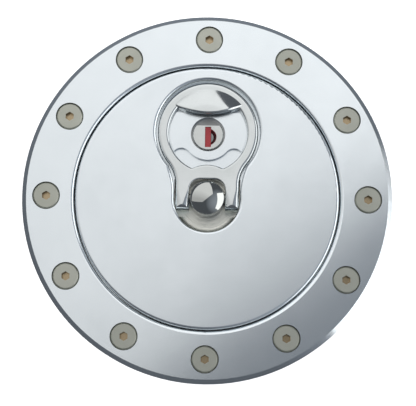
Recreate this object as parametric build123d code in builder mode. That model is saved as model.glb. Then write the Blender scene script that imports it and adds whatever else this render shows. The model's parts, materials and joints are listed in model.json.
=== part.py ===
"""Flush locking deck filler: a bolted flange, a bayonet lid with a fold-flat lever, and a hose neck.

Millimetres. Z is the axis of the filler, up out of the deck, with z = 0 on the deck. The lever points to +Y.
"""

import os
from math import asin, cos, pi, radians, sin, sqrt

from build123d import *

# ---------------------------------------------------------------- driving dimensions
top_z = 8.0  # flange and lid face above the deck
gap = 0.5  # general clearance between moving pieces
running = 0.05  # radial clearance of a shaft in its bore

# flange
flange_r = 69.5
flange_chamfer = 1.7
opening_r = 49.9
opening_edge = 1.35
gasket_t = 1.5
barrel_r = 54.0
barrel_bottom = -17.0
seat_z = -3.5
ledge_bottom = -8.4
ledge_r = 41.5
lug_cavity_r = 46.2
bolt_circle_r = 60.325
bolt_count = 12
screw_r = 2.5
screw_shank_r = 3.0  # shoulder inside the flange
screw_head_r = 5.0
screw_head_edge = 0.5
screw_length = 22.0
socket_across_flats = 3.0
socket_depth = 2.6

# bayonet
lug_count = 3
lug_r = 45.2
lug_half_angle = 20.0
slot_half_angle = 22.5
slot_r = 45.8
turn_range = 60.0
plate_top = -8.5
plate_t = 5.0
plate_hub_r = 40.6

# lid
lid_r = 49.5
lid_edge = 1.1
rim_bottom = -0.5
hub_r = 40.8
hub_bottom = -8.0
pocket_floor = 2.7
island_z = 5.0
well_floor = -1.05
pocket_edge = 1.05
well_corner = 2.0

# pocket outline
pocket_r = 19.65
pocket_y = 25.2
well_r = 12.5
well_y = -0.3
waist_top = (15.35, 13.4)
waist_mid = (13.2, 7.6)
waist_low = (12.44, 0.6)

# lever
ring_r = 18.95
ring_y = 24.9
ring_hole_r = 14.9
lever_top = 7.5
lever_bottom = 3.2
leg_x = 12.0
neck_fillet = 13.0
bump_r = 12.6
notch_x = 6.75
notch_y = 7.1
notch_corner = 4.1
pin_z = 4.9
pin_r = 1.8
cam_down = 5.85  # pin axis to the foot, lever flat
cam_up = 4.95  # pin axis to the foot, lever raised
leg_flat_end = -2.5
lip_radius = 26.0
lip_y = 31.6
lip_t = 2.3
tongue_r = 16.4
tongue_rise = 3.05  # the thumb tongue swells above the ring
tongue_flat = 9.0  # radius of its level top
lip_round = 0.8

# post
post_head_r = 6.4
dome_angle = 45.0
dome_edge_z = 7.7
post_shaft_r = 5.0

# lock
lock_y = 24.5
plug_face = 4.3
plug_head_r = 5.8
plug_hole_r = 6.5
plug_r = 5.4
housing_r = 7.6
housing_top = 2.2
housing_bottom = -2.0
cavity_top = -3.0
cavity_r = 11.4
cover_t = 1.7
cam_t = 1.2
cam_reach = 10.3
key_w = 2.3
key_l = 7.8
key_y = lock_y - 0.85
shutter_t = 1.4

# neck
neck_t = 3.0
neck_flange_t = 4.0
spigot_r = 25.4
spigot_length = 34.0
cone_bottom = -42.0
neck_screw_circle = 50.2
neck_screw_count = 6
neck_screw_r = 2.0
neck_screw_head = 2.6

# cover under the lock
cover_r = 14.8
cover_lobe_y = 32.0
cover_lobe = (14.0, 15.2)
cover_screw_circle = 12.8
cover_screw_r = 0.8
cover_gasket_t = 0.5

# dowels that make the plate turn with the lid
dowel_points = [(-20, -14), (20, -14)]
dowel_r = 2.0

os.makedirs("parts", exist_ok=True)


# ---------------------------------------------------------------- helpers
def annulus(outer, inner):
    """Draw a flat ring in the current sketch."""
    Circle(outer)
    Circle(inner, mode=Mode.SUBTRACT)


def save(piece, label):
    """Label a finished piece and write it."""
    piece.part.label = label
    export_step(piece.part, f"parts/{label}.step")


def ring_points(radius, count, first=0.0):
    """Points evenly spaced on a circle, from a first angle in degrees."""
    angles = [radians(first + 360 * i / count) for i in range(count)]
    return [(radius * cos(a), radius * sin(a)) for a in angles]


# ---------------------------------------------------------------- fixed flange
slot_directions = [90 + 120 * i for i in range(lug_count)]

hole_r = screw_shank_r + 0.1
countersink_r = screw_head_r + 0.2
countersink_edge = top_z - screw_head_edge - 0.05
with BuildPart() as screw_hole:
    with BuildSketch(Plane.XZ.offset(-bolt_circle_r)):
        with BuildLine():
            Polyline(
                (0, top_z + 1),
                (countersink_r, top_z + 1),
                (countersink_r, countersink_edge),
                (hole_r, countersink_edge - (countersink_r - hole_r)),
                (hole_r, 0),
                (0, 0),
                close=True,
            )
        make_face()
    revolve(axis=Axis((0, bolt_circle_r, 0), (0, 0, 1)))

with BuildPart() as flange_ring:
    with BuildSketch(Plane.XZ):
        with BuildLine():
            Polyline(
                (opening_r, top_z),
                (flange_r, top_z),
                (flange_r, gasket_t),
                (barrel_r, gasket_t),
                (barrel_r, barrel_bottom),
                (lug_cavity_r, barrel_bottom),
                (lug_cavity_r, ledge_bottom),
                (ledge_r, ledge_bottom),
                (ledge_r, seat_z),
                (opening_r, seat_z),
                close=True,
            )
        make_face()
    revolve(axis=Axis.Z)
    top_edges = flange_ring.edges().filter_by(GeomType.CIRCLE).group_by(Axis.Z)[-1].sort_by(SortBy.RADIUS)
    chamfer(top_edges[-1], flange_chamfer)
    fillet(top_edges[0], opening_edge)
    # countersunk screw holes, the first at +Y
    with PolarLocations(0, bolt_count):
        add(screw_hole.part, mode=Mode.SUBTRACT)
    # three slots in the ledge let the lugs through
    for direction in slot_directions:
        start, end = direction - slot_half_angle, direction + slot_half_angle
        with BuildSketch(Plane.XY.offset(seat_z)):
            with BuildLine():
                slot_arc = CenterArc((0, 0), slot_r, start, end - start)
                Line((0, 0), slot_arc @ 0)
                Line(slot_arc @ 1, (0, 0))
            make_face()
        extrude(amount=ledge_bottom - seat_z, mode=Mode.SUBTRACT)
    # tapped holes for the neck's screws
    with BuildSketch(Plane.XY.offset(barrel_bottom)):
        with Locations(ring_points(neck_screw_circle, neck_screw_count, 30)):
            Circle(neck_screw_r)
    extrude(amount=10, mode=Mode.SUBTRACT)
save(flange_ring, "flange_ring")

with BuildPart() as deck_gasket:
    with BuildSketch():
        annulus(flange_r - 0.5, barrel_r + 0.5)
        with PolarLocations(bolt_circle_r, bolt_count):
            Circle(screw_shank_r + 0.1, mode=Mode.SUBTRACT)
    extrude(amount=gasket_t)
save(deck_gasket, "deck_gasket")

with BuildPart() as mounting_screws:
    with BuildSketch(Plane.XZ.offset(-bolt_circle_r)):
        with BuildLine():
            Polyline(
                (0, top_z),
                (screw_head_r - screw_head_edge, top_z),
                (screw_head_r, top_z - screw_head_edge),
                (screw_shank_r, top_z - screw_head_edge - (screw_head_r - screw_shank_r)),
                (screw_shank_r, 0),
                (screw_r, 0),
                (screw_r, top_z - screw_length + 0.6),
                (screw_r - 0.6, top_z - screw_length),
                (0, top_z - screw_length),
                close=True,
            )
        make_face()
    revolve(axis=Axis((0, bolt_circle_r, 0), (0, 0, 1)))
    with BuildSketch(Plane.XY.offset(top_z)):
        with Locations((0, bolt_circle_r)):
            RegularPolygon(socket_across_flats / 2, 6, major_radius=False, rotation=30)
    extrude(amount=-socket_depth, mode=Mode.SUBTRACT)
    first_screw = mounting_screws.part
    with Locations([(x, y - bolt_circle_r) for x, y in ring_points(bolt_circle_r, bolt_count, 90)[1:]]):
        add(first_screw)
save(mounting_screws, "mounting_screws")

# ---------------------------------------------------------------- hose neck under the flange
neck_top = barrel_bottom
with BuildPart() as filler_neck:
    with BuildSketch(Plane.XZ):
        with BuildLine():
            Polyline(
                (44.5, neck_top),
                (barrel_r, neck_top),
                (barrel_r, neck_top - neck_flange_t),
                (46.5, neck_top - neck_flange_t),
                (spigot_r, cone_bottom),
                (spigot_r, cone_bottom - spigot_length),
                (spigot_r - neck_t, cone_bottom - spigot_length),
                (spigot_r - neck_t, cone_bottom + 1.5),
                (43.2, neck_top - 3),
                close=True,
            )
        make_face()
    revolve(axis=Axis.Z)
    with BuildSketch(Plane.XY.offset(neck_top)):
        annulus(48.2, 46.0)
    extrude(amount=-1.4, mode=Mode.SUBTRACT)
    with BuildSketch(Plane.XY.offset(neck_top)):
        with Locations(ring_points(neck_screw_circle, neck_screw_count, 30)):
            Circle(neck_screw_r + 0.2)
    extrude(amount=-neck_flange_t - 2, mode=Mode.SUBTRACT)
    spigot_end = filler_neck.edges().filter_by(GeomType.CIRCLE).group_by(Axis.Z)[0]
    chamfer(spigot_end, 0.8)
save(filler_neck, "filler_neck")

with BuildPart() as neck_oring:
    with BuildSketch(Plane.XZ):
        with Locations((47.1, neck_top - 0.7)):
            Circle(0.7)
    revolve(axis=Axis.Z)
save(neck_oring, "neck_oring")

head_top = neck_top - neck_flange_t
with BuildPart() as neck_screws:
    with BuildSketch(Plane.XY.offset(head_top)):
        with Locations(ring_points(neck_screw_circle, neck_screw_count, 30)):
            Circle(3.4)
    extrude(amount=-neck_screw_head)
    with BuildSketch(Plane.XY.offset(head_top)):
        with Locations(ring_points(neck_screw_circle, neck_screw_count, 30)):
            Circle(neck_screw_r)
    extrude(amount=12)
    with BuildSketch(Plane.XY.offset(head_top - neck_screw_head)):
        with Locations(ring_points(neck_screw_circle, neck_screw_count, 30)):
            RegularPolygon(1.5, 6, major_radius=False)
    extrude(amount=1.8, mode=Mode.SUBTRACT)
save(neck_screws, "neck_screws")

# a pin under the ledge stops each lug at the end of the turn
stop_circle = 44.2
stop_pin_r = 1.25
first_stop = slot_directions[0] - turn_range - lug_half_angle - 2.6
with BuildPart() as stop_pins:
    with BuildSketch(Plane.XY.offset(ledge_bottom)):
        with Locations(ring_points(stop_circle, lug_count, first_stop)):
            Circle(stop_pin_r)
    extrude(amount=-5)
save(stop_pins, "stop_pins")

# ---------------------------------------------------------------- seal: lifts with the lid but does not turn
slip_bottom = rim_bottom - 1.0
with BuildPart() as main_seal:
    with BuildSketch(Plane.XY.offset(seat_z)):
        annulus(lid_r - 0.2, slot_r + 0.5)
    extrude(amount=slip_bottom - seat_z)
save(main_seal, "main_seal")

with BuildPart() as slip_ring:
    with BuildSketch(Plane.XY.offset(slip_bottom)):
        annulus(lid_r - 0.2, hub_r + 0.4)
    extrude(amount=rim_bottom - slip_bottom)
save(slip_ring, "slip_ring")

# ---------------------------------------------------------------- lid
retainer_top = slip_bottom - 0.1
cover_seat = hub_bottom + cover_t
slot_back = 38.5
slot_front = 32.5
slot_x = 4.4

# hollow corner round the open end of the well, clear of the lever's feet
corner_mid = well_corner * (1 - sqrt(0.5))
with BuildPart() as well_fillet:
    with BuildSketch(Plane.XZ.offset(-well_y)):
        with BuildLine():
            hollow = ThreePointArc(
                (well_r - well_corner, well_floor),
                (well_r - corner_mid, well_floor + corner_mid),
                (well_r, well_floor + well_corner),
            )
            Polyline(hollow @ 1, (well_r, well_floor), hollow @ 0)
        make_face()
    revolve(axis=Axis((0, well_y, 0), (0, 0, 1)))
    with BuildSketch(Plane.XY.offset(well_floor)):
        with Locations((0, -6.3 - well_r)):
            Rectangle(2 * well_r, 2 * well_r)
    extrude(amount=well_corner, mode=Mode.INTERSECT)

with BuildPart() as lid_body:
    with BuildSketch(Plane.XY.offset(rim_bottom)):
        Circle(lid_r)
    extrude(amount=top_z - rim_bottom)
    fillet(lid_body.edges().group_by(Axis.Z)[-1], lid_edge)
    with BuildSketch(Plane.XY.offset(hub_bottom)):
        Circle(hub_r)
    extrude(amount=rim_bottom - hub_bottom)
    # keyhole pocket
    with BuildSketch(Plane.XY.offset(pocket_floor)):
        with Locations((0, pocket_y)):
            Circle(pocket_r)
        with Locations((0, well_y)):
            Circle(well_r)
        with BuildLine():
            right = ThreePointArc(waist_top, waist_mid, waist_low)
            left = ThreePointArc(
                (-waist_low[0], waist_low[1]), (-waist_mid[0], waist_mid[1]), (-waist_top[0], waist_top[1])
            )
            Line(right @ 1, left @ 0)
            Line(left @ 1, right @ 0)
        make_face()
    extrude(amount=top_z - pocket_floor, mode=Mode.SUBTRACT)
    top_edges = lid_body.edges().group_by(Axis.Z)[-1]
    fillet(top_edges.filter_by(lambda e: e.bounding_box().size.X < 80), pocket_edge)
    # deep well that the lever's feet stand in
    with BuildSketch(Plane.XY.offset(well_floor)):
        with Locations((0, well_y)):
            Circle(well_r)
        with Locations((0, 3.9)):
            Rectangle(2 * (well_r - 0.02), 7.4)
    extrude(amount=pocket_floor - well_floor, mode=Mode.SUBTRACT)
    add(well_fillet.part)
    # raised island around the lock, with a wavy lower edge
    with BuildSketch(Plane.XY.offset(pocket_floor)):
        with Locations((0, ring_y)):
            Circle(ring_hole_r - gap)
        with BuildLine():
            ThreePointArc((-7.3, 18.2), (0, lock_y - 9.7), (7.3, 18.2))
            ThreePointArc((7.3, 18.2), (10.1, 19.3), (13.2, 17.4))
            ThreePointArc((-13.2, 17.4), (-10.1, 19.3), (-7.3, 18.2))
            Polyline((13.2, 17.4), (16, 16), (16, 5), (-16, 5), (-16, 16), (-13.2, 17.4))
        make_face(mode=Mode.SUBTRACT)
        with Locations((0, 37.8)):
            Rectangle(32, 10, mode=Mode.SUBTRACT)
    extrude(amount=island_z - pocket_floor)
    # bore for the post
    with BuildSketch(Plane.XY.offset(hub_bottom)):
        Circle(post_shaft_r + running)
    extrude(amount=well_floor - hub_bottom, mode=Mode.SUBTRACT)
    # lock bore, stepped, then the cavity the cam swings in
    with BuildSketch(Plane.XY.offset(housing_top)):
        with Locations((0, lock_y)):
            Circle(plug_hole_r)
    extrude(amount=island_z - housing_top, mode=Mode.SUBTRACT)
    with BuildSketch(Plane.XY.offset(cavity_top)):
        with Locations((0, lock_y)):
            Circle(housing_r)
    extrude(amount=housing_top - cavity_top, mode=Mode.SUBTRACT)
    with BuildSketch(Plane.XY.offset(housing_bottom - 1.0)):
        with Locations((0, lock_y)):
            Circle(housing_r + 0.7)
    extrude(amount=1.0, mode=Mode.SUBTRACT)
    with BuildSketch(Plane.XY.offset(hub_bottom)):
        with Locations((0, lock_y)):
            Circle(cavity_r)
    extrude(amount=cavity_top - hub_bottom, mode=Mode.SUBTRACT)
    # slot the lever's hook drops through
    with BuildSketch(Plane.XY.offset(hub_bottom)):
        with Locations((0, (slot_front + slot_back) / 2)):
            RectangleRounded(2 * slot_x, slot_back - slot_front, 0.8)
    extrude(amount=pocket_floor - hub_bottom, mode=Mode.SUBTRACT)
    # recess for the cover, and its screw holes
    with BuildSketch(Plane.XY.offset(hub_bottom)):
        with Locations((0, lock_y)):
            Circle(cover_r + 0.2)
        with Locations((0, cover_lobe_y)):
            RectangleRounded(cover_lobe[0] + 0.4, cover_lobe[1] + 0.4, 2.0)
    extrude(amount=cover_seat - hub_bottom, mode=Mode.SUBTRACT)
    with BuildSketch(Plane.XY.offset(cover_seat)):
        with Locations((0, lock_y)):
            with Locations(ring_points(cover_screw_circle, 4, 225)):
                Circle(cover_screw_r + 0.02)
    extrude(amount=3.2, mode=Mode.SUBTRACT)
    # groove for the seal retainer and holes for the two dowels
    with BuildSketch(Plane.XY.offset(retainer_top - 1.0)):
        annulus(hub_r + 2, hub_r - 1.2)
    extrude(amount=1.0, mode=Mode.SUBTRACT)
    with BuildSketch(Plane.XY.offset(hub_bottom)):
        with Locations(dowel_points):
            Circle(dowel_r)
    extrude(amount=6, mode=Mode.SUBTRACT)
save(lid_body, "lid_body")

with BuildPart() as seal_retainer:
    with BuildSketch(Plane.XY.offset(retainer_top - 1.0)):
        annulus(hub_r + 1.8, hub_r - 1.2)
        with Locations((hub_r, 0)):
            Rectangle(6, 5, mode=Mode.SUBTRACT)
    extrude(amount=1.0)
save(seal_retainer, "seal_retainer")

with BuildPart() as drive_dowels:
    with BuildSketch(Plane.XY.offset(plate_top - 4)):
        with Locations(dowel_points):
            Circle(dowel_r)
    extrude(amount=hub_bottom + 6 - (plate_top - 4))
save(drive_dowels, "drive_dowels")

# ---------------------------------------------------------------- lock, fixed pieces
with BuildPart() as lock_housing:
    with BuildSketch(Plane.XY.offset(housing_bottom)):
        with Locations((0, lock_y)):
            annulus(housing_r, plug_r + running)
    extrude(amount=housing_top - housing_bottom)
save(lock_housing, "lock_housing")

with BuildPart() as lock_circlip:
    with BuildSketch(Plane.XY.offset(housing_bottom - 1.0)):
        with Locations((0, lock_y)):
            annulus(housing_r + 0.7, housing_r - 1.2)
        with Locations((housing_r, lock_y)):
            Rectangle(4, 4, mode=Mode.SUBTRACT)
    extrude(amount=1.0)
save(lock_circlip, "lock_circlip")

with BuildPart() as cover_gasket:
    with BuildSketch(Plane.XY.offset(cover_seat - cover_gasket_t)):
        with Locations((0, lock_y)):
            Circle(cover_r)
        with Locations((0, cover_lobe_y)):
            RectangleRounded(*cover_lobe, 2.0)
        with Locations((0, lock_y)):
            Circle(cavity_r + 0.2, mode=Mode.SUBTRACT)
        with Locations((0, (slot_front + slot_back) / 2)):
            RectangleRounded(2 * slot_x + 0.4, slot_back - slot_front + 0.4, 0.8, mode=Mode.SUBTRACT)
        with Locations((0, lock_y)):
            with Locations(ring_points(cover_screw_circle, 4, 225)):
                Circle(cover_screw_r + 0.1, mode=Mode.SUBTRACT)
    extrude(amount=cover_gasket_t)
save(cover_gasket, "cover_gasket")

# a countersunk head that opens downwards
head_down = {"rotation": (180, 0, 0), "align": (Align.CENTER, Align.CENTER, Align.MAX)}
with BuildPart() as cavity_cover:
    with BuildSketch(Plane.XY.offset(hub_bottom)):
        with Locations((0, lock_y)):
            Circle(cover_r)
        with Locations((0, cover_lobe_y)):
            RectangleRounded(*cover_lobe, 2.0)
    extrude(amount=cover_t - cover_gasket_t)
    with Locations(Plane.XY.offset(hub_bottom)):
        with Locations((0, lock_y)):
            with Locations(ring_points(cover_screw_circle, 4, 225)):
                Cylinder(cover_screw_r + 0.1, 2 * cover_t, mode=Mode.SUBTRACT)
                Cone(cover_screw_r + 0.1, 1.7, 0.8, mode=Mode.SUBTRACT, **head_down)
save(cavity_cover, "cavity_cover")

with BuildPart() as cover_screws:
    with BuildSketch(Plane.XY.offset(hub_bottom)):
        with Locations((0, lock_y)):
            with Locations(ring_points(cover_screw_circle, 4, 225)):
                Circle(cover_screw_r)
    extrude(amount=cover_t + 2.8)
    with Locations(Plane.XY.offset(hub_bottom)):
        with Locations((0, lock_y)):
            with Locations(ring_points(cover_screw_circle, 4, 225)):
                Cone(cover_screw_r, 1.6, 0.8, **head_down)
save(cover_screws, "cover_screws")

# ---------------------------------------------------------------- post, plate and spring, which drop a little
head_bottom = well_floor + 1.1
dome_r = post_head_r / sin(radians(dome_angle))
dome_h = dome_r * (1 - cos(radians(dome_angle)))
plate_bottom = plate_top - plate_t
washer_t = 1.2
nut_t = 4.0
thread_r = 4.0
post_end = plate_bottom - washer_t - nut_t - 1.2
oring_z = (well_floor + hub_bottom) / 2

with BuildPart() as centre_post:
    with BuildSketch(Plane.XZ):
        with BuildLine():
            side = Polyline(
                (0, post_end),
                (thread_r - 0.6, post_end),
                (thread_r, post_end + 0.6),
                (thread_r, plate_bottom),
                (post_shaft_r, plate_bottom),
                (post_shaft_r, oring_z - 1.0),
                (post_shaft_r - 1.7, oring_z - 1.0),
                (post_shaft_r - 1.7, oring_z + 1.0),
                (post_shaft_r, oring_z + 1.0),
                (post_shaft_r, head_bottom),
                (post_head_r, head_bottom),
                (post_head_r, dome_edge_z),
            )
            half = radians(dome_angle / 2)
            crown = ThreePointArc(
                side @ 1,
                (dome_r * sin(half), dome_edge_z + dome_h - dome_r * (1 - cos(half))),
                (0, dome_edge_z + dome_h),
            )
            Line(crown @ 1, side @ 0)
        make_face()
    revolve(axis=Axis.Z)
    rim = centre_post.edges().filter_by(GeomType.CIRCLE).filter_by_position(
        Axis.Z, dome_edge_z - 0.01, dome_edge_z + 0.01
    )
    fillet(rim, 0.6)
    with Locations((0, 0, pin_z)):
        Cylinder(pin_r + running, 3 * post_head_r, rotation=(0, 90, 0), mode=Mode.SUBTRACT)
save(centre_post, "centre_post")

with BuildPart() as post_oring:
    with BuildSketch(Plane.XZ):
        with Locations((post_shaft_r - 0.83, oring_z)):
            Circle(0.82)
    revolve(axis=Axis.Z)
save(post_oring, "post_oring")

spring_r = 8.0
spring_recess = 3.2
with BuildPart() as bayonet_plate:
    with BuildSketch(Plane.XY.offset(plate_bottom)):
        Circle(plate_hub_r)
    extrude(amount=plate_t)
    for direction in slot_directions:
        start = direction - lug_half_angle
        with BuildSketch(Plane.XY.offset(plate_bottom)):
            with BuildLine():
                lug_arc = CenterArc((0, 0), lug_r, start, 2 * lug_half_angle)
                Line((0, 0), lug_arc @ 0)
                Line(lug_arc @ 1, (0, 0))
            make_face()
        extrude(amount=plate_t)
    chamfer(bayonet_plate.edges().group_by(Axis.Z)[-1], 0.6)
    # lightening windows between the arms
    with BuildSketch(Plane.XY.offset(plate_bottom)):
        with Locations(ring_points(27, lug_count, 30)):
            Circle(6.5)
        with Locations(dowel_points):
            Circle(dowel_r + running)
        Circle(post_shaft_r)
    extrude(amount=plate_t, mode=Mode.SUBTRACT)
    with BuildSketch(Plane.XY.offset(plate_top)):
        Circle(spring_r + 1.2)
    extrude(amount=-spring_recess, mode=Mode.SUBTRACT)
save(bayonet_plate, "bayonet_plate")

wire_r = 0.45
spring_low = plate_top - spring_recess + wire_r + 0.02
spring_high = hub_bottom - wire_r - 0.02
with BuildPart() as release_spring:
    with BuildLine():
        coil = Helix(
            pitch=1.25, height=spring_high - spring_low, radius=spring_r - 0.8, center=(0, 0, spring_low)
        )
    with BuildSketch(Plane(coil @ 0, z_dir=coil % 0)):
        Circle(wire_r)
    sweep()
save(release_spring, "release_spring")

with BuildPart() as post_washer:
    with BuildSketch(Plane.XY.offset(plate_bottom - washer_t)):
        annulus(9.5, thread_r)
    extrude(amount=washer_t)
    chamfer(post_washer.edges().group_by(Axis.Z)[0].sort_by(SortBy.RADIUS)[-1], 0.3)
save(post_washer, "post_washer")

nut_bottom = plate_bottom - washer_t - nut_t
with BuildPart() as post_nut:
    with BuildSketch(Plane.XY.offset(nut_bottom)):
        RegularPolygon(6.5, 6, major_radius=False)
        Circle(thread_r, mode=Mode.SUBTRACT)
    extrude(amount=nut_t)
    # rounded corners below the hexagon's points
    with BuildSketch(Plane.XZ):
        with BuildLine():
            Polyline(
                (0, nut_bottom - 3.2),
                (7.9, nut_bottom + 1.3),
                (7.9, nut_bottom + nut_t),
                (0, nut_bottom + nut_t),
                close=True,
            )
        make_face()
    revolve(axis=Axis.Z, mode=Mode.INTERSECT)
save(post_nut, "post_nut")

# ---------------------------------------------------------------- lever: ring, tongue, crossbar, cam legs
lip_back = 33.2
finger_x = 8.5
hook_x = 3.6
hook_front = 32.8
hook_back = 36.6
hook_t = 1.4
hook_bottom = -6.0
hook_foot_t = 1.2


with BuildPart() as tongue:
    with BuildSketch(Plane.XZ.offset(-ring_y)):
        with BuildLine():
            swell = Spline(
                (tongue_r, lever_top),
                (12.7, lever_top + 0.75 * tongue_rise),
                (11.5, lever_top + 0.91 * tongue_rise),
                (tongue_flat, lever_top + tongue_rise),
                tangents=[(-0.81, 0.59), (-1, 0)],
            )
            Polyline(swell @ 1, (0, lever_top + tongue_rise), (0, lever_top), swell @ 0)
        make_face()
    revolve(axis=Axis((0, ring_y, 0), (0, 0, 1)))
    with BuildSketch(Plane.XY.offset(lever_top)):
        with Locations((0, lip_y + lip_radius)):
            Circle(lip_radius)
    extrude(amount=10, mode=Mode.INTERSECT)
    lip_edge = tongue.edges().filter_by(lambda e: (e @ 0.5).Z > lever_top + 1 and (e @ 0.5).Y < lip_y + 1)
    fillet(lip_edge, lip_round)

leg_stock = 10.0
pin_half = 11.2
leg_back = 3.0
lever_edge = 1.3
notch_edge = 0.5
end_width = 2.55  # rounding at the ends of the legs, in plan
end_drop = 1.1
hole_edge = 0.8
foot_z = pin_z - cam_down
neck_y = ring_y - sqrt((ring_r + neck_fillet) ** 2 - (leg_x + neck_fillet) ** 2)
touch = ring_r / (ring_r + neck_fillet)
neck_end = ((leg_x + neck_fillet) * touch, ring_y + (neck_y - ring_y) * touch)

# the feet hold the pin at a height that falls evenly as the lever is raised, so this is their working curve
slope = (cam_down - cam_up) / (pi / 2)
middle = pi / 4
reach = cam_down - slope * middle
cam_points = [
    (slope, foot_z),
    (-reach * sin(middle) + slope * cos(middle), pin_z - reach * cos(middle) - slope * sin(middle)),
    (-cam_up, pin_z - slope),
]
leg_envelope = Pos(0, 0, pin_z) * Sphere(leg_x + 0.3) + Pos(0, 40, 0) * Box(80, 80, 80)

# cross-sections of a leg: where it joins the crossbar, where its rounding is full, and past its end
def over_edge(edge_x, inward, width, drop):
    """Three points of the arc that leaves the leg's flat top level and meets its side a drop below."""
    arc_r = (width**2 + drop**2) / (2 * drop)
    half_turn = asin(min(1, width / arc_r)) / 2
    start_x = edge_x + inward * width
    mid_point = (start_x - inward * arc_r * sin(half_turn), lever_top - arc_r * (1 - cos(half_turn)))
    return (start_x, lever_top), mid_point, (edge_x, lever_top - drop)


leg_stations = [
    (leg_back, (lever_edge, lever_edge), (notch_edge, notch_edge)),
    (leg_flat_end, (end_width, end_drop), (end_width, end_drop)),
    (-leg_stock, (end_width, end_drop), (end_width, end_drop)),
]
legs = []
for side in (1, -1):
    for near, far in zip(leg_stations, leg_stations[1:]):
        with BuildPart() as length_of_leg:
            for y, outer_round, inner_round in (near, far):
                with BuildSketch(Plane(origin=(0, y, 0), x_dir=(side, 0, 0), z_dir=(0, -side, 0))):
                    with BuildLine():
                        outer = ThreePointArc(*over_edge(leg_x, -1, *outer_round))
                        inner = ThreePointArc(*over_edge(notch_x, 1, *inner_round))
                        Line(outer @ 0, inner @ 0)
                        Polyline(inner @ 1, (notch_x, foot_z), (leg_x, foot_z), outer @ 1)
                    make_face()
            loft()
        legs.append(length_of_leg.part)

with BuildPart() as lever:
    # plan of the ring, the neck and the legs
    with BuildSketch(Plane.XY.offset(lever_bottom)):
        with Locations((0, ring_y)):
            Circle(ring_r)
        with BuildLine():
            for side in (1, -1):
                centre = Vector(side * (leg_x + neck_fillet), neck_y)
                top = Vector(side * neck_end[0], neck_end[1])
                low = Vector(side * leg_x, neck_y)
                toward = ((top + low) * 0.5 - centre).normalized()
                ThreePointArc(top, centre + toward * neck_fillet, low)
                Line(low, (side * leg_x, -leg_stock))
            Line((leg_x, -leg_stock), (-leg_x, -leg_stock))
            Line((neck_end[0], neck_end[1]), (-neck_end[0], neck_end[1]))
        make_face()
    extrude(amount=lever_top - lever_bottom)
    # opening of the ring: a circle with the crossbar's rounded bump below and the tongue's lip above
    with BuildSketch(Plane.XY.offset(lever_bottom)):
        with Locations((0, ring_y)):
            Circle(ring_hole_r)
        Circle(bump_r, mode=Mode.SUBTRACT)
        with Locations((0, lip_y + lip_radius)):
            Circle(lip_radius, mode=Mode.SUBTRACT)
    extrude(amount=lever_top - lever_bottom, mode=Mode.SUBTRACT)
    # notch around the post
    with BuildSketch(Plane.XY.offset(foot_z)):
        with Locations((0, notch_y - 12)):
            RectangleRounded(2 * notch_x, 24, notch_corner)
    extrude(amount=lever_top - foot_z, mode=Mode.SUBTRACT)
    # polished rounding of the top edges
    rim = lever.edges().filter_by_position(Axis.Z, lever_top - 0.01, lever_top + 0.01)
    hole_rim = rim.filter_by(lambda e: bump_r - 0.1 < (e @ 0.5).Y < 30 and e.length > 10)
    upright = lever.edges().filter_by(Axis.Z).filter_by(lambda e: 10 < (e @ 0.5).Y < 12)
    fillet(hole_rim + upright, hole_edge)
    rim = lever.edges().filter_by_position(Axis.Z, lever_top - 0.01, lever_top + 0.01)
    outside = rim.filter_by(lambda e: abs((e @ 0.5).X) > leg_x - 0.1 and (e @ 0.5).Y < 12 or (e @ 0.5).Y > 43)
    fillet(outside, lever_edge)
    rim = lever.edges().filter_by_position(Axis.Z, lever_top - 0.01, lever_top + 0.01)
    inside = rim.filter_by(lambda e: abs((e @ 0.5).X) < notch_x + 0.1 and -8 < (e @ 0.5).Y < notch_y + 0.1)
    fillet(inside, notch_edge)
    # the legs, whose rounding widens until their ends are half round
    with Locations((0, leg_back - leg_stock, lever_top)):
        Box(60, 2 * leg_stock, 40, mode=Mode.SUBTRACT)
    for leg in legs:
        add(leg)
    # cam end of the legs: foot, working curve, rounded nose
    with BuildSketch(Plane.YZ.offset(-20)):
        with BuildLine():
            working = ThreePointArc(*cam_points)
            rounded = ThreePointArc(cam_points[2], (-4.16, pin_z + 1.36), (leg_flat_end, lever_top))
            Polyline(rounded @ 1, (50, lever_top), (50, foot_z), working @ 0)
        make_face()
    extrude(amount=40, mode=Mode.INTERSECT)
    add(leg_envelope, mode=Mode.INTERSECT)
    # the thumb tongue, hollow under its lip
    add(tongue.part)
    with BuildSketch(Plane.XY.offset(lever_bottom)):
        with Locations((0, lip_y)):
            Rectangle(2 * finger_x, 2 * (lip_back - lip_y))
    extrude(amount=lever_top + tongue_rise - lip_t - lever_bottom, mode=Mode.SUBTRACT)
    # hook under the tongue, for the lock's cam
    with BuildSketch(Plane.XY.offset(hook_bottom)):
        with Locations((0, hook_back - hook_t / 2)):
            Rectangle(2 * hook_x, hook_t)
    extrude(amount=lever_bottom + 0.8 - hook_bottom)
    with BuildSketch(Plane.XY.offset(hook_bottom)):
        with Locations((0, (hook_front + hook_back) / 2)):
            Rectangle(2 * hook_x, hook_back - hook_front)
    extrude(amount=hook_foot_t)
    # hole for the pivot pin
    with Locations((0, 0, pin_z)):
        Cylinder(pin_r, 2 * pin_half, rotation=(0, 90, 0), mode=Mode.SUBTRACT)
    with Locations((pin_half, 0, pin_z)):
        Cylinder(pin_r, 2, rotation=(0, 90, 0), mode=Mode.SUBTRACT)
save(lever, "lever")

with BuildPart() as cross_pin:
    with Locations((0, 0, pin_z)):
        Cylinder(pin_r, 2 * pin_half, rotation=(0, 90, 0))
    chamfer(cross_pin.edges(), 0.3)
save(cross_pin, "cross_pin")

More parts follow.
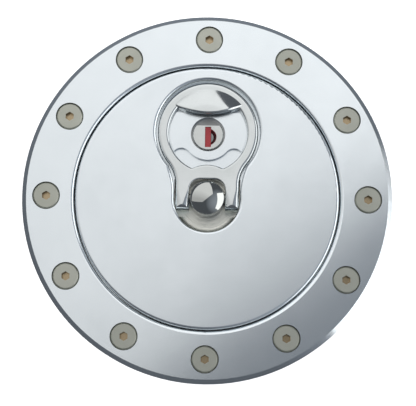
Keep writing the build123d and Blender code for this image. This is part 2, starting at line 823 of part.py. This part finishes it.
# ---------------------------------------------------------------- lock, turning pieces
scoop_r = 2.1
chord_y = 3.5
tail_top = housing_bottom - 1.1
tail_w = 4.0
shutter_face = plug_face - 0.35
with BuildPart() as lock_plug:
    with BuildSketch(Plane.XY.offset(housing_top + 0.05)):
        with Locations((0, lock_y)):
            Circle(plug_head_r)
    extrude(amount=plug_face - housing_top - 0.05)
    chamfer(lock_plug.edges().group_by(Axis.Z)[-1], 0.25)
    with BuildSketch(Plane.XY.offset(tail_top)):
        with Locations((0, lock_y)):
            Circle(plug_r)
    extrude(amount=housing_top + 0.05 - tail_top)
    with BuildSketch(Plane.XY.offset(cavity_top - 0.3 - cam_t)):
        with Locations((0, lock_y)):
            Rectangle(tail_w, tail_w)
            Circle(1.2, mode=Mode.SUBTRACT)
    extrude(amount=tail_top - (cavity_top - 0.3 - cam_t))
    # the face is cut back above a chord
    with BuildSketch(Plane.XY.offset(plug_face)):
        with Locations((0, lock_y + chord_y + 5)):
            Rectangle(20, 10)
    extrude(amount=-1.8, mode=Mode.SUBTRACT)
    # key slot, deeper behind the shutter's place, and the half-moon beside it
    with BuildSketch(Plane.XY.offset(plug_face)):
        with Locations((0, key_y)):
            Rectangle(key_w, key_l)
    extrude(amount=-6.4, mode=Mode.SUBTRACT)
    with BuildSketch(Plane.XY.offset(plug_face - 1.6)):
        with Locations((0, key_y)):
            Circle(scoop_r)
        with Locations((-5, key_y)):
            Rectangle(10, 10, mode=Mode.SUBTRACT)
    extrude(amount=1.6, mode=Mode.SUBTRACT, taper=-35)
save(lock_plug, "lock_plug")

cam_top = cavity_top - 0.3
with BuildPart() as lock_cam:
    with BuildSketch(Plane.XY.offset(cam_top - cam_t)):
        with Locations((0, lock_y)):
            Circle(4.2)
        with Locations((-(cam_reach - 2.6) / 2, lock_y)):
            Rectangle(cam_reach - 2.6, 5.2)
        with Locations((-(cam_reach - 2.6), lock_y)):
            Circle(2.6)
        with Locations((0, lock_y)):
            Rectangle(tail_w, tail_w, mode=Mode.SUBTRACT)
    extrude(amount=cam_t)
save(lock_cam, "lock_cam")

with BuildPart() as cam_screw:
    with BuildSketch(Plane.XY.offset(cam_top - cam_t - 1.3)):
        with Locations((0, lock_y)):
            Circle(3.2)
    extrude(amount=1.3)
    with BuildSketch(Plane.XY.offset(cam_top - cam_t)):
        with Locations((0, lock_y)):
            Circle(1.2)
    extrude(amount=tail_top - cam_top + cam_t)
    with BuildSketch(Plane.XY.offset(cam_top - cam_t - 1.3)):
        with Locations((0, lock_y)):
            Rectangle(0.9, 8)
    extrude(amount=0.7, mode=Mode.SUBTRACT)
save(cam_screw, "cam_screw")

with BuildPart() as key_shutter:
    with BuildSketch(Plane.XY.offset(shutter_face - shutter_t)):
        with Locations((0, key_y)):
            Rectangle(key_w - 0.16, key_l - 0.16)
    extrude(amount=shutter_t)
save(key_shutter, "key_shutter")

slot_bottom = plug_face - 6.4
with BuildPart() as shutter_spring:
    with BuildLine():
        thin = Helix(
            pitch=0.9,
            height=shutter_face - shutter_t - slot_bottom - 0.5,
            radius=0.75,
            center=(0, key_y, slot_bottom + 0.25),
        )
    with BuildSketch(Plane(thin @ 0, z_dir=thin % 0)):
        Circle(0.15)
    sweep()
save(shutter_spring, "shutter_spring")
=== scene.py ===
"""Looks, lights and camera for the flush filler cap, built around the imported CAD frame. Units are metres."""

import json
import math

import bpy
from mathutils import Matrix, Vector


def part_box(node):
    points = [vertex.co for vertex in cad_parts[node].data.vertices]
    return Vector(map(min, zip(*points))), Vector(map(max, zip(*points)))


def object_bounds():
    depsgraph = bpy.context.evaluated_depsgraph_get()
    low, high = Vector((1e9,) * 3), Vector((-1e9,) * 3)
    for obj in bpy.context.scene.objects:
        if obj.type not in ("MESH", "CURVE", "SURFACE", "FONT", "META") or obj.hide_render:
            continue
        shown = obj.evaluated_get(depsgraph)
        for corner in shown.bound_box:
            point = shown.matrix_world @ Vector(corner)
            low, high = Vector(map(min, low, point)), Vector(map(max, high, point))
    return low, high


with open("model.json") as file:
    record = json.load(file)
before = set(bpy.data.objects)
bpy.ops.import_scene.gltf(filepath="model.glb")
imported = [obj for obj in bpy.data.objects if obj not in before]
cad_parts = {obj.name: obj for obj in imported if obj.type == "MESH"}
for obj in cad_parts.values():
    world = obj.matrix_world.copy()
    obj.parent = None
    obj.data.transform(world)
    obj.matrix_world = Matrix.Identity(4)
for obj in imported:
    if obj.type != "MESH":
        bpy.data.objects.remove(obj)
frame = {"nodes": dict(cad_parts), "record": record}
cad_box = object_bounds()
nodes = frame["nodes"]
scene = bpy.context.scene


# ---------------------------------------------------------------- node helpers
class Graph:
    """A short way to write a shader node tree."""

    def __init__(self, name):
        self.material = bpy.data.materials.new(name)
        self.material.use_nodes = True
        self.tree = self.material.node_tree
        self.tree.nodes.clear()
        self.output = self.add("ShaderNodeOutputMaterial")

    @classmethod
    def of(cls, owner):
        """Node helpers for a tree that is there already."""
        graph = cls.__new__(cls)
        graph.material, graph.tree = owner, owner.node_tree
        return graph

    def split(self, vector):
        node = self.add("ShaderNodeSeparateXYZ")
        self.put(node.inputs[0], vector)
        return node.outputs[0], node.outputs[1], node.outputs[2]

    def add(self, kind, **sockets):
        node = self.tree.nodes.new(kind)
        for key, value in sockets.items():
            if key.startswith("_"):
                setattr(node, key[1:], value)
            else:
                self.put(node.inputs[key.replace("_", " ")], value)
        return node

    def put(self, socket, value):
        if isinstance(value, bpy.types.NodeSocket):
            self.tree.links.new(value, socket)
        else:
            socket.default_value = value

    def math(self, operation, a, b=0.0):
        node = self.add("ShaderNodeMath", _operation=operation)
        self.put(node.inputs[0], a)
        self.put(node.inputs[1], b)
        return node.outputs[0]

    def ramp(self, value, low, high, out_low=0.0, out_high=1.0):
        node = self.add("ShaderNodeMapRange", _clamp=True)
        self.put(node.inputs[0], value)
        for i, v in enumerate((low, high, out_low, out_high)):
            node.inputs[i + 1].default_value = v
        return node.outputs[0]

    def mix(self, factor, a, b):
        node = self.add("ShaderNodeMix", _data_type="RGBA")
        self.put(node.inputs[0], factor)
        self.put(node.inputs[6], a)
        self.put(node.inputs[7], b)
        return node.outputs[2]

    def noise(self, vector, scale, detail=3.0, rough=0.55):
        node = self.add("ShaderNodeTexNoise")
        self.put(node.inputs["Vector"], vector)
        node.inputs["Scale"].default_value = scale
        node.inputs["Detail"].default_value = detail
        node.inputs["Roughness"].default_value = rough
        return node.outputs["Fac"]

    def place(self):
        return self.add("ShaderNodeTexCoord").outputs["Object"]

    def bump(self, height, distance, normal=None):
        node = self.add("ShaderNodeBump")
        node.inputs["Strength"].default_value = 1.0
        node.inputs["Distance"].default_value = distance
        self.put(node.inputs["Height"], height)
        if normal is not None:
            self.put(node.inputs["Normal"], normal)
        return node.outputs["Normal"]

    def radius(self, centre_y=0.0):
        """Distance from the filler's axis, or from a parallel axis at y = centre_y."""
        x, y, z = self.split(self.place())
        y = self.math("SUBTRACT", y, centre_y)
        square = self.math("ADD", self.math("MULTIPLY", x, x), self.math("MULTIPLY", y, y))
        return self.math("SQRT", square), z

    def finish(self, shader):
        self.tree.links.new(shader, self.output.inputs["Surface"])
        return self.material


def rgba(r, g, b):
    return (r, g, b, 1.0)


zone_soft = 1e-4  # half the height over which a zone's colour and roughness fade in; in the lock's scoop that colour is painted shade
zone_line_gain = 5.0  # tool lines are this much deeper inside a zone
tool_line_scale = 3500.0
plain_grain = 1500.0


def metal(
    name,
    light,
    dark,
    rough,
    grain=4000.0,
    grain_depth=2e-6,
    turned=None,
    turned_depth=0.0,
    smudge=0.06,
    zone=None,
    zone_rings=None,
):
    """A metal with a fine grain, cloudy smudges and, if turned is an axis y, concentric tool lines.

    zone = (bottom, top, colour, rough) gives another colour and roughness between two heights: the well floor's own
    finish, a darker warm tone in the screws' sockets, and painted shade in the lock's scoop.
    zone_rings = (scale, depth) cuts coarser tool lines there.
    """
    g = Graph(name)
    place = g.place()
    cloud = g.noise(place, 60.0, 4.0, 0.6)
    colour = g.mix(g.ramp(cloud, 0.35, 0.7), rgba(*light), rgba(*dark))
    roughness = g.ramp(cloud, 0.3, 0.75, rough - smudge / 2, rough + smudge / 2)
    radius, height = g.radius(turned or 0.0)
    depth = 1.0
    if zone is not None:
        bottom, top, zone_colour, zone_rough = zone
        above = g.ramp(height, bottom - zone_soft, bottom + zone_soft)
        under = g.ramp(height, top - zone_soft, top + zone_soft, 1.0, 0.0)
        inside = g.math("MULTIPLY", above, under)
        colour = g.mix(inside, colour, rgba(*zone_colour))
        change = g.math("SUBTRACT", zone_rough, roughness)
        roughness = g.math("ADD", roughness, g.math("MULTIPLY", inside, change))
        depth = g.ramp(inside, 0.0, 1.0, 1.0, zone_line_gain)
    bsdf = g.add("ShaderNodeBsdfPrincipled")
    g.put(bsdf.inputs["Base Color"], colour)
    bsdf.inputs["Metallic"].default_value = 1.0
    g.put(bsdf.inputs["Roughness"], roughness)
    normal = g.bump(g.noise(place, grain, 2.0), grain_depth)
    if turned is not None:
        ring = g.add("ShaderNodeCombineXYZ")
        g.put(ring.inputs[0], radius)
        g.put(ring.inputs[1], height)
        lines = g.noise(ring.outputs[0], tool_line_scale, 2.0, 0.7)
        normal = g.bump(g.math("MULTIPLY", lines, depth), turned_depth, normal)
        if zone_rings is not None:
            ring_scale, ring_depth = zone_rings
            grooves = g.noise(ring.outputs[0], ring_scale, 2.0, 0.6)
            normal = g.bump(g.math("MULTIPLY", grooves, inside), ring_depth, normal)
    g.put(bsdf.inputs["Normal"], normal)
    return g.finish(bsdf.outputs[0])


def plain(name, light, dark, rough, grain_depth=1.5e-5):
    """Rubber or plastic with a fine grained surface."""
    g = Graph(name)
    place = g.place()
    cloud = g.noise(place, 90.0, 4.0, 0.6)
    colour = g.mix(g.ramp(cloud, 0.35, 0.7), rgba(*light), rgba(*dark))
    bsdf = g.add("ShaderNodeBsdfPrincipled")
    g.put(bsdf.inputs["Base Color"], colour)
    g.put(bsdf.inputs["Roughness"], g.ramp(cloud, 0.3, 0.75, rough - 0.05, rough + 0.07))
    g.put(bsdf.inputs["Normal"], g.bump(g.noise(place, plain_grain, 3.0), grain_depth))
    return g.finish(bsdf.outputs[0])


# ---------------------------------------------------------------- materials
face_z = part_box("flange_ring")[1].z
lock_y = sum(corner.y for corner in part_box("lock_housing")) / 2
far_below = -1.0  # a zone that starts here has no lower end
scoop_shade_top = 0.0040  # height below which the lock is coloured darker: painted shade in the plug's scoop and recesses
well_top = 0.002  # height below which the well's floor has its own finish
socket_depth, socket_lip = 0.0028, 0.0005  # the screws' sockets, below the flange face
satin = dict(light=(0.79, 0.84, 0.87), dark=(0.76, 0.81, 0.84), turned=0.0, turned_depth=1.0e-6, smudge=0.03)
steel = dict(light=(0.50, 0.515, 0.50), dark=(0.47, 0.485, 0.47), rough=0.06, grain_depth=4e-7, smudge=0.03)
finishes = {
    "satin_aluminium": metal("satin_aluminium", rough=0.165, **satin),
    "machined_aluminium": metal(
        "machined_aluminium", (0.72, 0.74, 0.76), (0.64, 0.66, 0.68), 0.34, turned=0.0, turned_depth=4e-6, smudge=0.08
    ),
    "polished_steel": metal("polished_steel", **steel),
    # painted shade: below the scoop's top height the lock metal is coloured dark to stand in for the shade in the
    # plug's scoop and step
    "lock_metal": metal(
        "lock_metal",
        (0.62, 0.64, 0.63),
        (0.56, 0.58, 0.57),
        0.22,
        turned=lock_y,
        turned_depth=1e-6,
        zone=(far_below, scoop_shade_top, (0.30, 0.31, 0.31), 0.35),
    ),
    "stainless_screws": metal(
        "stainless_screws",
        (0.50, 0.51, 0.45),
        (0.45, 0.46, 0.40),
        0.42,
        grain=2500.0,
        grain_depth=4e-6,
        smudge=0.08,
        zone=(face_z - socket_depth, face_z - socket_lip, (0.42, 0.33, 0.21), 0.25),
    ),
    "plain_steel": metal("plain_steel", (0.62, 0.63, 0.64), (0.54, 0.55, 0.56), 0.28, smudge=0.08),
    "spring_steel": metal("spring_steel", (0.50, 0.51, 0.53), (0.42, 0.43, 0.45), 0.3, smudge=0.08),
    "black_rubber": plain("black_rubber", (0.030, 0.030, 0.032), (0.022, 0.022, 0.024), 0.62),
    "acetal": plain("acetal", (0.80, 0.80, 0.77), (0.75, 0.75, 0.71), 0.42, grain_depth=6e-6),
    "red_plastic": plain("red_plastic", (0.52, 0.045, 0.055), (0.45, 0.035, 0.045), 0.38, grain_depth=6e-6),
}
# pieces whose finish differs from the rest of their slot; the lock housing's dark colour is painted shade
own_finish_and_shade = {
    "lid_body": metal(
        "lid_aluminium",
        rough=0.21,
        **satin,
        zone=(far_below, well_top, (0.84, 0.84, 0.77), 0.36),
        zone_rings=(1500.0, 1.3e-4),
    ),
    "lever": metal("lever_steel", (0.67, 0.70, 0.705), (0.61, 0.64, 0.64), 0.14, grain_depth=1.2e-6, smudge=0.06),
    "cross_pin": metal("pin_steel", (0.20, 0.205, 0.20), (0.16, 0.165, 0.16), 0.4, smudge=0.05),
    "main_seal": plain("grey_seal", (0.16, 0.175, 0.17), (0.13, 0.145, 0.14), 0.55),
    "slip_ring": plain("grey_acetal", (0.16, 0.175, 0.17), (0.13, 0.145, 0.14), 0.5),
    # painted shade: the lock housing is coloured dark so the narrow gap around the plug reads as shade
    "lock_housing": metal(
        "housing_painted_shade", (0.38, 0.39, 0.39), (0.32, 0.33, 0.33), 0.3, turned=lock_y, turned_depth=1e-6
    ),
}
slot_of = {s["node"]: s["material_slot"] for s in frame["record"]["subparts"]}
for name, obj in nodes.items():
    obj.data.materials.clear()
    obj.data.materials.append(own_finish_and_shade.get(name, finishes[slot_of[name]]))


# ---------------------------------------------------------------- stage: floor and reflectors
def lamp_material(name, colour, strength):
    g = Graph(name)
    emission = g.add("ShaderNodeEmission")
    emission.inputs[0].default_value = rgba(*colour)
    emission.inputs[1].default_value = strength
    return g.finish(emission.outputs[0])


def card(name, corners, material):
    """A flat stage card between corner points; the camera doesn't see it."""
    mesh = bpy.data.meshes.new(name)
    mesh.from_pydata(corners, [], [tuple(range(len(corners)))])
    mesh.materials.append(material)
    obj = bpy.data.objects.new(name, mesh)
    scene.collection.objects.link(obj)
    obj.visible_camera = False


floor_gap = 0.001
floor_z = cad_box[0].z - floor_gap
floor_half = 6.0
floor_signs = ((-1, -1), (1, -1), (1, 1), (-1, 1))
floor_corners = [(x * floor_half, y * floor_half, floor_z) for x, y in floor_signs]
floor_mesh = bpy.data.meshes.new("floor")
floor_mesh.from_pydata(floor_corners, [], [(0, 1, 2, 3)])
floor_graph = Graph("pale_floor")
floor_bsdf = floor_graph.add("ShaderNodeBsdfPrincipled")
floor_bsdf.inputs["Base Color"].default_value = rgba(0.92, 0.92, 0.92)
floor_bsdf.inputs["Roughness"].default_value = 0.9
floor_bsdf.inputs["Emission Color"].default_value = rgba(1, 1, 1)
floor_bsdf.inputs["Emission Strength"].default_value = 0.8
floor_mesh.materials.append(floor_graph.finish(floor_bsdf.outputs[0]))
floor = bpy.data.objects.new("floor", floor_mesh)
scene.collection.objects.link(floor)
floor.visible_glossy = False

# the softbox is brightest at its near right end
softbox = lamp_material("softbox_light", (1.0, 1.0, 1.0), 1.0)
fall = Graph.of(softbox)
across, along_y, _ = fall.split(fall.place())
share = fall.math("ADD", fall.math("MULTIPLY", across, 0.25), fall.math("MULTIPLY", along_y, 0.8))
fall.put(fall.tree.nodes["Emission"].inputs[1], fall.ramp(share, -0.17, 0.28, 0.7, 1.15))
card(
    "softbox",
    [(0.534, 0.439, 1.0), (0.118, 1.30, 0.07), (-1.47, -0.167, 0.27), (-0.404, -0.336, 1.0)],
    softbox,
)
window = lamp_material("window_light", (1.0, 1.0, 1.0), 2.0)
window_x = 0.755
window_corners = ((-0.64, -0.065), (0.33, -0.065), (0.447, 0.64), (-0.83, 0.57))
card("window", [(window_x, y, z) for y, z in window_corners], window)

# a dim room, lighter high up beside the window and below the horizon
world = bpy.data.worlds.new("studio")
scene.world = world
world.use_nodes = True
room = Graph.of(world)
towards = room.add("ShaderNodeVectorMath", _operation="DOT_PRODUCT")
direction = room.add("ShaderNodeTexCoord").outputs["Generated"]
room.put(towards.inputs[0], direction)
room.put(towards.inputs[1], Vector((0.75, -0.2, 0.6)).normalized())
beside = room.ramp(towards.outputs["Value"], 0.55, 1.0, 0.13, 0.48)
below = room.ramp(room.split(direction)[2], -0.40, -0.12, 0.25, 0.0)
sky = world.node_tree.nodes["Background"]
room.put(sky.inputs["Strength"], room.math("ADD", beside, below))
sky.inputs["Color"].default_value = rgba(0.90, 0.98, 1.10)

# ---------------------------------------------------------------- camera
camera_data = bpy.data.cameras.new("camera")
camera_data.sensor_width = 36.0
camera_data.lens = 138.0
camera = bpy.data.objects.new("camera", camera_data)
scene.collection.objects.link(camera)
turn = (
    Matrix.Rotation(math.radians(-7.375), 4, "X")
    @ Matrix.Rotation(math.radians(-0.095), 4, "Y")
    @ Matrix.Rotation(math.radians(-0.846), 4, "Z")
)
shift = Vector((-0.00034, 0.00205, -0.59695))
back = turn.to_3x3().transposed()
camera.matrix_world = Matrix.Translation(-(back @ shift) + Vector((0, 0, face_z))) @ back.to_4x4()
scene.camera = camera

scene.view_settings.view_transform = "Standard"
scene.view_settings.look = "None"
